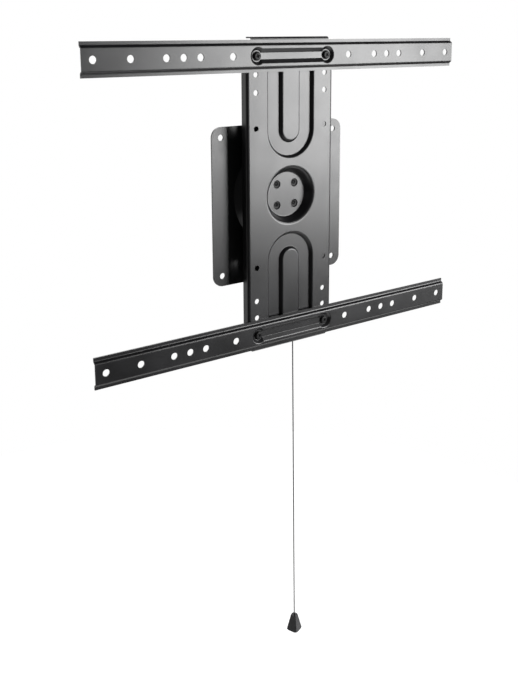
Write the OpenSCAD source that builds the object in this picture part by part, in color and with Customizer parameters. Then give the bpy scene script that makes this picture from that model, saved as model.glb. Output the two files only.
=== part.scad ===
// Pivoting wall mount for a flat screen, with landscape and portrait stops and a pull cord release
// X runs along the rails, Y runs into the wall, Z runs up, and the wall face is the plane y = 0

/* [Rails] */
// Length of each rail
rail_length = 630; // [620:5:900]
// Flat margin of the web above and below the pocket's eyes
web_margin = 3; // [2:0.5:8]
// Height of each lip beside the web
lip_height = 5; // [4:0.5:12]
// Depth from a rail's face to the back of its lips
rail_depth = 6; // [5:0.5:9]
// Sheet thickness of the rails
rail_sheet = 2; // [1.2:0.1:2.5]
// Distance between the centre lines of the two rails
rail_spacing = 400; // [330:10:600]
// Diameter of the screen bolt holes
screen_hole_d = 10; // [6:0.5:12]
// Radius of the washers in the pocket's round eyes
washer_r = 6.6; // [6.2:0.1:8]
// How much lower than its eyes the pocket's bar is, above and below
bar_step = 2; // [1:0.5:3]

/* [Swivel plate] */
// Width of the swivel plate
plate_width = 150; // [120:1:180]
// How far the swivel plate runs past the rails
plate_overrun = 4; // [2:0.5:6]
// Sheet thickness of the swivel plate
plate_sheet = 2; // [1.5:0.1:2.5]
// Gap between the flanges round the plate and the dome
flange_gap = 3; // [1:0.5:5]
// Diameter of the spare fixing holes
spare_hole_d = 8; // [6:0.5:9]
// Width of the pressed groove at the plate's face
groove_width = 25; // [22:0.5:28]
// Depth of the pressed groove
groove_depth = 5; // [3:0.5:7]
// Radius of the groove's turn along its middle
groove_turn_r = 27.5; // [26:0.5:29]

/* [Centre cup] */
// Depth of the cup behind the plate's face
cup_depth = 13; // [10:0.5:20]
// Radius of the cup's flat floor
cup_floor_r = 33.5; // [31:0.5:40]
// Run of the cup's sloped wall from its floor out to the plate's face
cup_wall_run = 7; // [5:0.5:9]
// Distance from the hub screws' centres to the edge of the hub's boss
hub_screw_edge = 5.58; // [5:0.02:8]

/* [Hub and bearing] */
// Radius of the hub's boss in the dome
boss_r = 27.5; // [22:0.5:33]
// Width of the hub's flange round the boss
hub_flange_width = 10.5; // [10:0.5:14]
// Thickness of the hub's flange
hub_flange_t = 4; // [3:0.5:5]
// Thickness of the bearing ring in front of the dome
front_ring_t = 1.5; // [1:0.1:2.5]
// Thickness of the bearing ring behind the dome
rear_ring_t = 1.5; // [1:0.1:2.5]
// Radius of the stop pin
stop_pin_r = 2.5; // [2:0.1:3]
// Angle between the two stops
turn_angle = 90; // [60:5:90]

/* [Wall plate] */
// Distance from the wall holes' centres to the wall plate's edge
wall_margin = 15; // [14:1:60]
// Corner radius of the wall plate
wall_corner_r = 15; // [8:1:20]
// Sheet thickness of the wall plate
wall_sheet = 2.5; // [2:0.1:3]
// Distance between the wall holes, both ways
wall_hole_spacing = 200; // [170:1:400]
// Diameter of the wall holes
wall_hole_d = 9; // [6:0.5:11]
// Height of the pivot above the middle of the wall holes
pivot_z = 12; // [0:1:14]
// Rise of the pressed dome above the wall plate's face
dome_rise = 12.5; // [12:0.5:20]
// Room between the latch bolt's end and the edge of the dome's flat top
dome_room = 3.5; // [3:0.5:10]
// Run of the dome's sloped wall, from its flat top out to the wall plate
dome_wall_run = 8; // [6:0.5:12]

/* [Latch] */
// Width of the latch bolt's stem
stem_width = 12; // [10:0.5:13]
// Thickness of the latch bolt
latch_t = 4.5; // [3.5:0.5:4.5]
// Travel of the latch bolt from drawn to locked
latch_travel = 6.5; // [5:0.5:6.5]
// Wire diameter of the two latch springs
spring_wire_d = 1; // [0.6:0.1:1.2]
// Mean radius of the two latch springs
spring_r = 2.3; // [1.8:0.1:2.3]

/* [Pull cord] */
// Diameter of the cord
cord_d = 2; // [1.5:0.1:2.2]
// Width of the knob's square top
knob_top_width = 9; // [8:0.5:12]
// Width of the knob's square lower end
knob_end_width = 19; // [16:0.5:20]
// Height of the knob
knob_height = 26; // [22:1:32]

/* [Hidden] */
$fn = 96;
SIDES = ["left", "right"];
FOUR = [1, 2, 3, 4];
function numbered(name) = [for (i = FOUR) str(name, "_", i)];
function sided(name) = [for (s = SIDES) str(name, "_", s)];

// Colours of the finishes
coat_black = [0.17, 0.17, 0.18];
coat_soft = [0.23, 0.23, 0.24];
screw_black = [0.09, 0.09, 0.1];
zinc = [0.62, 0.63, 0.65];
nylon = [0.85, 0.84, 0.8];
cord_grey = [0.32, 0.32, 0.33];

// Clearances
running_gap = 0.05;
seat_gap = 0.05;
play = 0.1;
slot_gap = 0.1;
guide_gap = 0.15;
ring_bore_gap = 0.3;
ring_inset = 0.5;
cord_gap = 0.2;
cord_slot_gap = 1.9;
overcut = 1;
fuse = 0.01;
bend_steps = 4;

// Heights of the layers, from the wall forward
wall_face_y = -wall_sheet;
dome_front_y = wall_face_y - dome_rise;
dome_back_y = dome_front_y + wall_sheet;
hub_flange_front_y = dome_back_y + rear_ring_t + play;
hub_flange_back_y = hub_flange_front_y + hub_flange_t;
front_ring_y = dome_front_y - front_ring_t;
cup_back_y = front_ring_y - play;
cup_floor_y = cup_back_y - plate_sheet;
plate_y = cup_floor_y - cup_depth;
plate_back_y = plate_y + plate_sheet;
rail_y = plate_y - rail_depth;

// Rails
screen_hole_xs = [100, 150, 175, 200, 250, 300];
lip_wall_run = 2;
rail_bend_r = 0.8;
lip_bend_r = 2;
web_recess = rail_depth - rail_sheet;
screw_edge = 15;
rail_screw_x = plate_width / 2 - screw_edge;
washer_room = 1.4;
bar_run = 5.5;
eye_run = 4;
eye_r = washer_r + washer_room + eye_run;
bar_half = eye_r - bar_step;
web_height = 2 * (eye_r + web_margin);
rail_height = web_height + 2 * (lip_wall_run + lip_height);
pocket_bend_r = 0.5;

// Swivel plate
plate_height = rail_spacing + rail_height + 2 * plate_overrun;
flange_depth = dome_front_y - flange_gap - plate_y;
plate_bend_r = 2;
corner_relief = 8;
spare_hole_x = rail_screw_x;
spare_hole_drops = [100, 50, 25];
groove_run = 3;
groove_bend_r = 1;
groove_margin = 3;
groove_cup_gap = 14.5;
groove_end_drop = 10;
cup_rim_r = cup_floor_r + cup_wall_run;
cup_floor_bend_r = 2;
cup_rim_bend_r = 4;
cup_margin = 6.5;
groove_turn_z = cup_rim_r + groove_cup_gap + groove_width / 2 + groove_turn_r;
groove_end_z = rail_spacing / 2 - groove_end_drop;

// Fasteners
screw_r = 3;
thread_r = screw_r + seat_gap;
countersink_r = 6.2;
head_sink = 1.2;
hex_key_r = 2.3;
hex_key_depth = 1.4;
hub_screw_length = 9;
pan_head_r = 5.8;
pan_head_h = 3;
pan_round = 2;
cross_width = 1.2;
cross_length = 6;
cross_depth = 1.6;
cross_turn = 20;
screw_overrun = 1;
washer_t = 0.8;
nut_flange_r = 7;
nut_flange_t = 1.2;
nut_across = 10;
nut_t = 5.4;
nut_chamfer = 0.8;

// Hub, rings and stop
hub_flange_r = boss_r + hub_flange_width;
hub_screw_half = (boss_r - hub_screw_edge) / sqrt(2);
ring_inner_r = boss_r + ring_bore_gap;
ring_outer_r = hub_flange_r - ring_inset;
stop_inset = 5;
stop_r = boss_r + stop_inset;
stop_pin_overrun = 1;
stop_slot_half = stop_pin_r + slot_gap;
stop_angle = 90;
stop_spare_angle = 0.4;

// Dome
bore_r = boss_r + running_gap;
wall_width = wall_hole_spacing + 2 * wall_margin;
wall_height = wall_hole_spacing + 2 * wall_margin;
dome_bend_r = 2;
dome_margin = 6;

// Latch: heights are counted from the pivot, with the bolt drawn
nose_gap = 1.5;
nose_floor_gap = 0.5;
notch_depth = latch_travel - nose_gap + nose_floor_gap;
notch_half = stem_width / 2 + guide_gap;
nose_z = -hub_flange_r - nose_gap;
nose_chamfer = 1;
nose_length = 12.5;
latch_y = dome_back_y + play;
latch_back_y = latch_y + latch_t;
arm_z = nose_z - nose_length;
arm_half = 3.5;
arm_x = 30;
guide_space = 1.5;
guide_sheet = 1.5;
guide_foot = 9;
guide_top_z = arm_z - arm_half - guide_space;
guide_length = 9;
guide_bend_r = 0.4;
rivet_shift = 0.5;
stem_end_z = guide_top_z - guide_length - guide_space;
rivet_r = 1.8;
rivet_head_r = 3;
rivet_face_r = 2;
rivet_head_t = 1.2;
rivet_x = stem_width / 2 + guide_gap + guide_sheet + guide_foot / 2 + rivet_shift;
rivet_z = guide_top_z - guide_length / 2;
post_r = 1.6;
post_head_r = 2.6;
post_head_t = 0.8;
post_end_y = -3.4;
post_grip = 3;
spring_span = 19;
post_top_z = arm_z + spring_span;
dome_top_r = dome_room - stem_end_z;
dome_base_r = dome_top_r + dome_wall_run;

// Springs
spring_gap = 0.25;
spring_y = post_end_y - post_head_t - spring_wire_d / 2 - spring_gap;
hook_gap = 0.2;
hook_r = post_r + spring_wire_d / 2 + hook_gap;
hook_neck = 2;
neck_rise = 0.9 * hook_neck;
spring_turns = 5;
spring_turn_steps = 10;
hook_steps = 8;
hook_sweep = 290;
lead_steps = 5;
spring_sides = 6;

// Cord: the route's points, from the knot on the latch bolt down to the knot in the knob
cord_route = [[21, -5.5, -39.5], [21, -14.5, -702]];
cord_top = cord_route[0];
cord_end = cord_route[1];
cord_r = cord_d / 2;
cord_sides = 8;
cord_rings = 80;
cord_hole_r = cord_r + cord_gap;
cord_hole_sides = 32;
cord_slot_r = cord_r + cord_slot_gap;
cord_slot_end = 15;
lug_half = 5;
lug_back_y = -3.1;
lug_top_z = arm_z + 0.5;
lug_bottom_z = arm_z - arm_half;
knot_r = cord_r + 1.2;
knot_h = 3.2;
knot_round = 0.6;
knob_cover = 8;
knob_top_z = cord_end[2] + knob_cover;
knob_socket_r = 4.5;
knob_round = 1.2;
knob_turn = 23;
knob_corner = 0.65;

// Plane helpers: a turn from one direction to another, and the left side of a direction
function unit(v) = v / norm(v);
function left_of(v) = [-v[1], v[0]];
function cross_2d(a, b) = a[0] * b[1] - a[1] * b[0];
function polar(r, a) = r * [cos(a), sin(a)];

// Points of a rounded corner c between p and q
function corner_arc(p, c, q, r) =
    let (u = unit(p - c), w = unit(q - c), half = acos(u * w) / 2)
    let (centre = c + unit(u + w) * r / sin(half), start = c + u * r / tan(half) - centre)
    let (a0 = atan2(start[1], start[0]), sweep = sign(cross_2d(c - p, q - c)) * (180 - 2 * half))
    [for (i = [0:bend_steps]) centre + polar(r, a0 + sweep * i / bend_steps)];

// Mitre point of corner c at distance t on the left side
function mitre(p, c, q, t) =
    let (a = left_of(unit(c - p)), b = left_of(unit(q - c)))
    c + t * (a + b) / (1 + a * b);

// An open path with its inner corners rounded, with one radius for left turns and one for right turns
function rounded_path(path, left_r, right_r) =
    let (last = len(path) - 1)
    [for (i = [0:last])
        each i == 0 || i == last ? [path[i]] :
            let (turn = cross_2d(path[i] - path[i - 1], path[i + 1] - path[i]))
            corner_arc(path[i - 1], path[i], path[i + 1], turn > 0 ? left_r : right_r)];

// The same path moved t to its left, corner by corner
function moved_path(path, t) =
    let (last = len(path) - 1)
    [for (i = [0:last])
        i == 0 ? path[0] + t * left_of(unit(path[1] - path[0])) :
        i == last ? path[last] + t * left_of(unit(path[last] - path[last - 1])) :
        mitre(path[i - 1], path[i], path[i + 1], t)];

function reversed(list) = [for (i = [len(list) - 1:-1:0]) list[i]];

// Section of a bent sheet: the path is its show face, and the sheet lies t deep on the left
function sheet_section(path, t, left_inner_r, right_inner_r) =
    concat(
        rounded_path(path, left_inner_r + t, right_inner_r),
        reversed(rounded_path(moved_path(path, t), left_inner_r, right_inner_r + t))
    );

// A trough across a sheet: half width, run and depth of its walls, and the flat margin beside it
function trough_path(half, run, depth, margin = 1) =
    [[-half - margin, 0], [-half, 0], [-half + run, depth], [half - run, depth], [half, 0],
        [half + margin, 0]];

// The same trough turned about its own middle, as the round end of a groove
function bowl_path(half, run, depth, margin = 1) =
    [[0, depth], [half - run, depth], [half, 0], [half + margin, 0]];

// Middle of a list, without its first and last few items
function inner_part(list, first = 1, last = 1) = [for (i = [first:len(list) - 1 - last]) list[i]];

// Outline closed by a straight line at the given depth
function closed_at(points, depth) =
    concat(points, [[points[len(points) - 1][0], depth], [points[0][0], depth]]);

// Space that a press leaves in front of a sheet along a path whose last point lies on the flat
function pressed_space(path, t, r, first = 1) =
    closed_at(inner_part(rounded_path(path, r + t, r), first), -overcut);

// Metal that the same press pushes out behind the sheet
function pressed_back(path, t, r, first = 1) =
    closed_at(rounded_path(inner_part(moved_path(path, t), first), r + t, r + t), t / 2);

// Turn a flat outline drawn in X and Z into a slab from y_front, t thick
module slab(y_front, t) {
    translate([0, y_front + t, 0])
        rotate([90, 0, 0])
            linear_extrude(height = t)
                children();
}

// A round bar or hole along Y
module rod(r, y_front, y_back, r_back = undef) {
    translate([0, y_front, 0])
        rotate([-90, 0, 0])
            cylinder(h = y_back - y_front, r1 = r, r2 = is_undef(r_back) ? r : r_back);
}

// Turn a section of radius and depth about the Y axis, all round or over the lower half
module spun(section, y_front, angle = 360) {
    translate([0, y_front, 0])
        rotate([-90, 0, 0])
            rotate_extrude(angle = angle)
                polygon(section);
}

// Run a section of height and depth along X
module run_along_x(section, y_front, length) {
    translate([0, y_front, 0])
        rotate([0, -90, 0])
            linear_extrude(height = length, center = true)
                polygon(section);
}

// Run a section of width and depth up from z_low
module run_up(section, y_front, z_low, length) {
    translate([0, y_front, z_low])
        linear_extrude(height = length)
            polygon(section);
}

// Flat rectangle with round corners
module rounded_rectangle(width, height, r) {
    square([width - 2 * r, height], center = true);
    square([width, height - 2 * r], center = true);
    for (x = [-1, 1], z = [-1, 1])
        translate([x * (width / 2 - r), z * (height / 2 - r)])
            circle(r);
}

// Put children at the pivot's height
module at_pivot() {
    translate([0, 0, pivot_z])
        children();
}

// One tube swept along a list of points, closed at both ends
function path_tangent(points, i) =
    unit(points[min(i + 1, len(points) - 1)] - points[max(i - 1, 0)]);
function across(normal, tangent) = unit(normal - (normal * tangent) * tangent);
function path_normals(points, first) =
    [for (i = 0, n = across(first, path_tangent(points, 0)); i < len(points);
        i = i + 1, n = i < len(points) ? across(n, path_tangent(points, i)) : n) n];
module tube(points, r, sides, first = [1, 0, 0]) {
    normals = path_normals(points, first);
    count = len(points);
    rings = [for (i = [0:count - 1])
        let (n = normals[i], b = cross(path_tangent(points, i), n))
        for (k = [0:sides - 1]) points[i] + r * (cos(360 * k / sides) * n + sin(360 * k / sides) * b)];
    walls = [for (i = [0:count - 2], k = [0:sides - 1])
        let (a = i * sides + k, c = i * sides + (k + 1) % sides)
        each [[a, a + sides, c], [c, a + sides, c + sides]]];
    near_cap = [for (k = [0:sides - 1]) k];
    far_cap = [for (k = [sides - 1:-1:0]) (count - 1) * sides + k];
    polyhedron(points = rings, faces = concat(walls, [near_cap, far_cap]), convexity = 6);
}

// Wall plate: a flat sheet with a round pressed dome that carries the pivot
module wall_plate() {
    hole_half = wall_hole_spacing / 2;
    dome_path = [[bore_r, 0], [dome_top_r, 0], [dome_base_r, dome_rise],
        [dome_base_r + dome_margin, dome_rise]];
    color(coat_soft)
        difference() {
            union() {
                slab(wall_face_y, wall_sheet)
                    difference() {
                        rounded_rectangle(wall_width, wall_height, wall_corner_r);
                        translate([0, pivot_z])
                            circle(dome_base_r + dome_margin - overcut);
                    }
                at_pivot()
                    spun(sheet_section(dome_path, wall_sheet, dome_bend_r, dome_bend_r), dome_front_y);
            }
            for (x = [-1, 1], z = [-1, 1])
                translate([x * hole_half, 0, z * hole_half])
                    rod(wall_hole_d / 2, wall_face_y - overcut, overcut);
            at_pivot() {
                stop_pin_place()
                    rod(stop_pin_r + seat_gap, dome_front_y - overcut, 0);
                for (side = SIDES) {
                    guide_rivet_place(side)
                        rod(rivet_r + seat_gap, dome_front_y - overcut, dome_back_y + overcut);
                    spring_post_place(side)
                        rod(post_r + seat_gap, dome_front_y - overcut, dome_back_y + overcut);
                }
            }
            translate([cord_top[0], cord_top[1], pivot_z - dome_base_r])
                cylinder(h = dome_base_r - dome_top_r + cord_slot_end, r = cord_slot_r);
        }
}

// Flat nylon rings that the swivel plate and the hub turn on
module bearing_ring(y_front, t) {
    at_pivot()
        difference() {
            rod(ring_outer_r, y_front, y_front + t);
            rod(ring_inner_r, y_front - overcut, y_front + t + overcut);
        }
}

module front_bearing_ring() {
    color(nylon)
        bearing_ring(front_ring_y, front_ring_t);
}

// The rear ring is held from turning by the stop pin, and is notched where the latch bolt comes up
module rear_bearing_ring() {
    color(nylon)
        difference() {
            bearing_ring(dome_back_y, rear_ring_t);
            at_pivot() {
                stop_pin_place()
                    rod(stop_pin_r + seat_gap, dome_back_y - overcut, 0);
                translate([0, -overcut, 0])
                    latch_notch();
            }
        }
}

// Stop pin in the dome, which runs in the hub's curved slot
module stop_pin_place() {
    translate([stop_r * cos(stop_angle), 0, stop_r * sin(stop_angle)])
        children();
}

module stop_pin() {
    color(zinc)
        at_pivot()
            stop_pin_place()
                rod(stop_pin_r, dome_front_y + seat_gap, hub_flange_back_y + stop_pin_overrun);
}

// Hub: the boss turns in the dome's bore, and the flange holds it from behind
module hub() {
    color(zinc)
        at_pivot()
            difference() {
                union() {
                    rod(boss_r, cup_back_y, hub_flange_front_y + overcut);
                    rod(hub_flange_r, hub_flange_front_y, hub_flange_back_y);
                }
                hub_screw_places() {
                    rod(thread_r, cup_back_y - overcut, hub_flange_back_y + overcut);
                    countersink();
                }
                stop_slot();
                for (turn = [0, turn_angle])
                    rotate([0, -turn, 0])
                        latch_notch();
            }
}

// Curved slot round the stop pin, one pin longer than the turn
module stop_slot() {
    sweep = turn_angle + 2 * stop_spare_angle;
    rotate([90, 0, 0])
        rotate([0, 0, stop_angle - stop_spare_angle])
            rotate_extrude(angle = sweep)
                translate([stop_r - stop_slot_half, -hub_flange_back_y - overcut])
                    square([2 * stop_slot_half, hub_flange_t + 2 * overcut]);
    for (a = [stop_angle - stop_spare_angle, stop_angle - stop_spare_angle + sweep])
        translate([stop_r * cos(a), 0, stop_r * sin(a)])
            rod(stop_slot_half, hub_flange_front_y - overcut, hub_flange_back_y + overcut);
}

// Notch in the flange's rim that takes the latch bolt's nose
module latch_notch() {
    translate([-notch_half, hub_flange_front_y - overcut, -hub_flange_r - overcut])
        cube([2 * notch_half, hub_flange_t + 2 * overcut, notch_depth + overcut]);
}

// Countersink through the cup's floor into the hub, with its mouth on the cup's floor
module countersink() {
    rod(countersink_r, cup_floor_y, cup_floor_y + countersink_r, 0);
}

module hub_screw_place(i) {
    x = i % 2 == 1 ? -1 : 1;
    z = i <= 2 ? 1 : -1;
    translate([x * hub_screw_half, 0, z * hub_screw_half])
        children();
}

module hub_screw_places() {
    for (i = FOUR)
        hub_screw_place(i)
            children();
}

// Flat headed socket screw that holds the cup's floor to the hub
module hub_screw(i) {
    head_y = cup_floor_y + head_sink;
    head_r = countersink_r - head_sink - seat_gap;
    color(screw_black)
        at_pivot()
            hub_screw_place(i)
                difference() {
                    union() {
                        rod(head_r, head_y, head_y + head_r - screw_r, screw_r);
                        rod(screw_r, head_y + head_r - screw_r - fuse, head_y + hub_screw_length);
                    }
                    translate([0, head_y - overcut, 0])
                        rotate([-90, 0, 0])
                            cylinder(h = hex_key_depth + overcut, r = hex_key_r, $fn = 6);
                }
}

// Swivel plate: a tray with open corners, two pressed grooves and the centre cup
module rotor_plate() {
    color(coat_black)
        at_pivot()
            difference() {
                union() {
                    difference() {
                        plate_tray();
                        rod(cup_rim_r + cup_margin - overcut, plate_y - overcut, plate_back_y + overcut);
                        both_ways()
                            slab(plate_y - overcut, plate_sheet + 2 * overcut)
                                groove_outline(groove_width / 2 + groove_margin - overcut);
                    }
                    plate_cup();
                    both_ways()
                        plate_groove();
                }
                for (x = [-1, 1], z = [-1, 1]) {
                    for (drop = spare_hole_drops)
                        translate([x * spare_hole_x, 0, z * (rail_spacing / 2 - drop)])
                            rod(spare_hole_d / 2, plate_y - overcut, plate_back_y + overcut);
                    translate([x * rail_screw_x, 0, z * rail_spacing / 2])
                        rod(thread_r, plate_y - overcut, plate_back_y + overcut);
                }
                hub_screw_places()
                    countersink();
            }
}

// Children as drawn for the upper half, and once more upside down for the lower half
module both_ways() {
    children();
    rotate([0, 180, 0])
        children();
}

// Sheet with all four edges bent back and square reliefs at the corners
module plate_tray() {
    half_w = plate_width / 2;
    half_h = plate_height / 2;
    side_path = [[-half_w, flange_depth], [-half_w, 0], [half_w, 0], [half_w, flange_depth]];
    end_path = [[-half_h, flange_depth], [-half_h, 0], [half_h, 0], [half_h, flange_depth]];
    run_up(sheet_section(side_path, plate_sheet, plate_bend_r, plate_bend_r), plate_y,
        corner_relief - half_h, plate_height - 2 * corner_relief);
    run_along_x(sheet_section(end_path, plate_sheet, plate_bend_r, plate_bend_r), plate_y,
        plate_width - 2 * corner_relief);
}

// Cup pressed back to the hub, with a soft rim and a tighter bend at its floor
module plate_cup() {
    path = [[0, cup_depth], [cup_floor_r, cup_depth], [cup_rim_r, 0], [cup_rim_r + cup_margin, 0]];
    spun(sheet_section(path, plate_sheet, cup_rim_bend_r, cup_floor_bend_r), plate_y);
}

// Outline of the U-shaped groove, half wide to each side of its middle line
module groove_outline(half) {
    translate([0, groove_turn_z])
        difference() {
            circle(groove_turn_r + half);
            circle(groove_turn_r - half);
            translate([-2 * groove_turn_r, 0])
                square([4 * groove_turn_r, 2 * groove_turn_r]);
        }
    for (side = [-1, 1])
        translate([side * groove_turn_r, 0]) {
            translate([-half, groove_turn_z])
                square([2 * half, groove_end_z - groove_turn_z]);
            translate([0, groove_end_z])
                circle(half);
        }
}

// U-shaped groove: a half turn below, two straight legs, and a round bowl at each end
module plate_groove() {
    half = groove_width / 2;
    trough = sheet_section(trough_path(half, groove_run, groove_depth, groove_margin),
        plate_sheet, groove_bend_r, groove_bend_r);
    bowl = sheet_section(bowl_path(half, groove_run, groove_depth, groove_margin),
        plate_sheet, groove_bend_r, groove_bend_r);
    translate([0, 0, groove_turn_z])
        spun([for (p = trough) p + [groove_turn_r, 0]], plate_y, 180);
    for (side = [-1, 1])
        translate([side * groove_turn_r, 0, 0]) {
            run_up(trough, plate_y, groove_turn_z, groove_end_z - groove_turn_z);
            translate([0, 0, groove_end_z])
                rotate([0, 180, 0])
                    spun(bowl, plate_y, 180);
        }
}

// Rail: a flat hat section with a long centre pocket and the screen's bolt holes
module rail() {
    web_half = web_height / 2;
    lip = web_half + lip_wall_run;
    half = rail_height / 2;
    hat = [[-half, web_recess], [-lip, web_recess], [-web_half, 0], [web_half, 0],
        [lip, web_recess], [half, web_recess]];
    bar = trough_path(bar_half, bar_run, web_recess);
    eye = bowl_path(eye_r, eye_run, web_recess);
    difference() {
        union() {
            run_along_x(sheet_section(hat, rail_sheet, rail_bend_r, lip_bend_r), rail_y, rail_length);
            rail_pocket(pressed_back(bar, rail_sheet, pocket_bend_r),
                pressed_back(eye, rail_sheet, pocket_bend_r, 0));
        }
        rail_pocket(pressed_space(bar, rail_sheet, pocket_bend_r),
            pressed_space(eye, rail_sheet, pocket_bend_r, 0));
        for (side = [-1, 1]) {
            for (x = screen_hole_xs)
                translate([side * x, 0, 0])
                    rod(screen_hole_d / 2, rail_y - overcut, rail_y + rail_sheet + overcut);
            translate([side * rail_screw_x, 0, 0])
                rod(thread_r, rail_y, plate_y + overcut);
        }
    }
}

// Pocket between the two rail screws: a bar section along X and an eye section turned at each end
module rail_pocket(bar, eye) {
    run_along_x(bar, rail_y, 2 * rail_screw_x);
    for (side = [-1, 1])
        translate([side * rail_screw_x, 0, 0])
            spun(eye, rail_y);
}

module top_rail() {
    color(coat_black)
        at_pivot()
            translate([0, 0, rail_spacing / 2])
                rail();
}

module bottom_rail() {
    color(coat_black)
        at_pivot()
            translate([0, 0, -rail_spacing / 2])
                rail();
}

module rail_screw_place(i) {
    x = i % 2 == 1 ? -1 : 1;
    z = i <= 2 ? 1 : -1;
    translate([x * rail_screw_x, 0, pivot_z + z * rail_spacing / 2])
        children();
}

// Pan headed cross screw in a pocket's eye
module rail_screw(i) {
    seat_y = rail_y + web_recess - washer_t;
    end_y = plate_back_y + nut_t + screw_overrun - seat_y;
    crown = [[0, -pan_head_h], [pan_head_r, -pan_head_h], [pan_head_r, 0]];
    shank = [[screw_r, 0], [screw_r, end_y], [0, end_y]];
    screw = concat(rounded_path(crown, pan_round, pan_round), shank);
    color(screw_black)
        rail_screw_place(i)
            difference() {
                spun(screw, seat_y);
                for (turn = [0, 90])
                    rotate([0, turn + cross_turn, 0])
                        translate([-cross_length / 2, seat_y - pan_head_h - overcut, -cross_width / 2])
                            cube([cross_length, cross_depth + overcut, cross_width]);
            }
}

module rail_washer(i) {
    color(screw_black)
        rail_screw_place(i)
            difference() {
                rod(washer_r, rail_y + web_recess - washer_t, rail_y + web_recess);
                rod(thread_r, rail_y, plate_y);
            }
}

// Flanged hexagon nut behind the swivel plate, with its corners turned off at the back
module rail_nut(i) {
    nut_corner_r = nut_across / 2 / cos(30);
    nut_crown = [[0, 0], [nut_corner_r + fuse, 0], [nut_corner_r + fuse, nut_t - nut_chamfer],
        [nut_across / 2, nut_t], [0, nut_t]];
    color(zinc)
        rail_screw_place(i)
            difference() {
                union() {
                    rod(nut_flange_r, plate_back_y, plate_back_y + nut_flange_t);
                    intersection() {
                        translate([0, plate_back_y, 0])
                            rotate([-90, 0, 0])
                                cylinder(h = nut_t, r = nut_corner_r, $fn = 6);
                        spun(nut_crown, plate_back_y);
                    }
                }
                rod(thread_r, plate_back_y - overcut, plate_back_y + nut_t + overcut);
            }
}

// Strap over the latch bolt's stem, riveted to the back of the dome
module latch_guide() {
    wall_x = stem_width / 2 + guide_gap + guide_sheet;
    depth = latch_back_y + guide_gap + guide_sheet - dome_back_y;
    strap = [[wall_x + guide_foot, -guide_sheet], [wall_x, -guide_sheet], [wall_x, -depth],
        [-wall_x, -depth], [-wall_x, -guide_sheet], [-wall_x - guide_foot, -guide_sheet]];
    color(zinc)
        at_pivot()
            difference() {
                translate([0, dome_back_y, guide_top_z - guide_length])
                    mirror([0, 1, 0])
                        linear_extrude(height = guide_length)
                            polygon(sheet_section(reversed(strap), guide_sheet, guide_bend_r, guide_bend_r));
                for (side = SIDES)
                    guide_rivet_place(side)
                        rod(rivet_r + seat_gap, dome_back_y - overcut, dome_back_y + guide_sheet + overcut);
            }
}

function sign_of(side) = side == "left" ? -1 : 1;

module guide_rivet_place(side) {
    translate([sign_of(side) * rivet_x, 0, rivet_z])
        children();
}

module guide_rivet(side) {
    foot_y = dome_back_y + guide_sheet;
    color(zinc)
        at_pivot()
            guide_rivet_place(side) {
                rod(rivet_r, dome_front_y + seat_gap, foot_y + fuse);
                rod(rivet_head_r, foot_y, foot_y + rivet_head_t, rivet_face_r);
            }
}

// Headed posts that the springs hook over: two in the dome and two in the latch bolt's arms
module spring_post_place(side) {
    translate([sign_of(side) * arm_x, 0, post_top_z])
        children();
}

module headed_post(y_start) {
    rod(post_r, y_start, post_end_y - post_head_t + fuse);
    rod(post_head_r, post_end_y - post_head_t, post_end_y);
}

module spring_post(side) {
    color(zinc)
        at_pivot()
            spring_post_place(side)
                headed_post(dome_front_y + seat_gap);
}

module latch_post(side) {
    color(zinc)
        at_pivot()
            translate([sign_of(side) * arm_x, 0, arm_z])
                headed_post(latch_back_y - post_grip);
}

// Latch bolt: a stem whose nose drops into the hub's notch, two arms for the springs and a cord lug
module latch_bolt() {
    half = stem_width / 2;
    stem = [[-half, stem_end_z], [half, stem_end_z], [half, nose_z - nose_chamfer],
        [half - nose_chamfer, nose_z], [nose_chamfer - half, nose_z], [-half, nose_z - nose_chamfer]];
    color(coat_soft)
        at_pivot()
            difference() {
                union() {
                    slab(latch_y, latch_t) {
                        polygon(stem);
                        translate([-arm_x, arm_z - arm_half])
                            square([2 * arm_x, 2 * arm_half]);
                        for (side = [-1, 1])
                            translate([side * arm_x, arm_z])
                                circle(arm_half);
                    }
                    translate([cord_top[0] - lug_half, latch_back_y - overcut, lug_bottom_z])
                        cube([2 * lug_half, lug_back_y - latch_back_y + overcut,
                            lug_top_z - lug_bottom_z]);
                }
                translate([cord_top[0], cord_top[1], lug_bottom_z - overcut])
                    cylinder(h = lug_top_z - lug_bottom_z + 2 * overcut, r = cord_hole_r,
                        $fn = cord_hole_sides);
                for (side = SIDES)
                    translate([sign_of(side) * arm_x, 0, arm_z])
                        rod(post_r + seat_gap, latch_back_y - post_grip, latch_back_y + overcut);
            }
}

// Extension spring: a hook round each post and a coil between them, as one wire
function hook(z, up) =
    [for (i = [0:hook_steps]) let (a = 90 - up * hook_sweep * (1 - i / hook_steps) * up)
        [hook_r * cos(a), 0, z + up * hook_r * sin(a)]];
function neck(z, up) =
    [for (i = [1:lead_steps]) let (f = i / (lead_steps + 1))
        [0, -spring_r * f * f, z + up * (hook_r + neck_rise * sin(90 * f))]];
function spring_line(low_z, high_z) =
    let (coil_low = low_z + hook_r + hook_neck, coil_high = high_z - hook_r - hook_neck)
    let (coil_steps = spring_turns * spring_turn_steps)
    let (coil = [for (i = [0:coil_steps]) let (a = 360 * i / spring_turn_steps - 90)
        [spring_r * cos(a), spring_r * sin(a), coil_low + (coil_high - coil_low) * i / coil_steps]])
    concat(hook(low_z, 1), neck(low_z, 1), coil, reversed(neck(high_z, -1)), reversed(hook(high_z, -1)));

module latch_spring(side) {
    color(zinc)
        translate([sign_of(side) * arm_x, spring_y, pivot_z])
            tube(spring_line(arm_z, post_top_z), spring_wire_d / 2, spring_sides, [0, 1, 0]);
}

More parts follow.
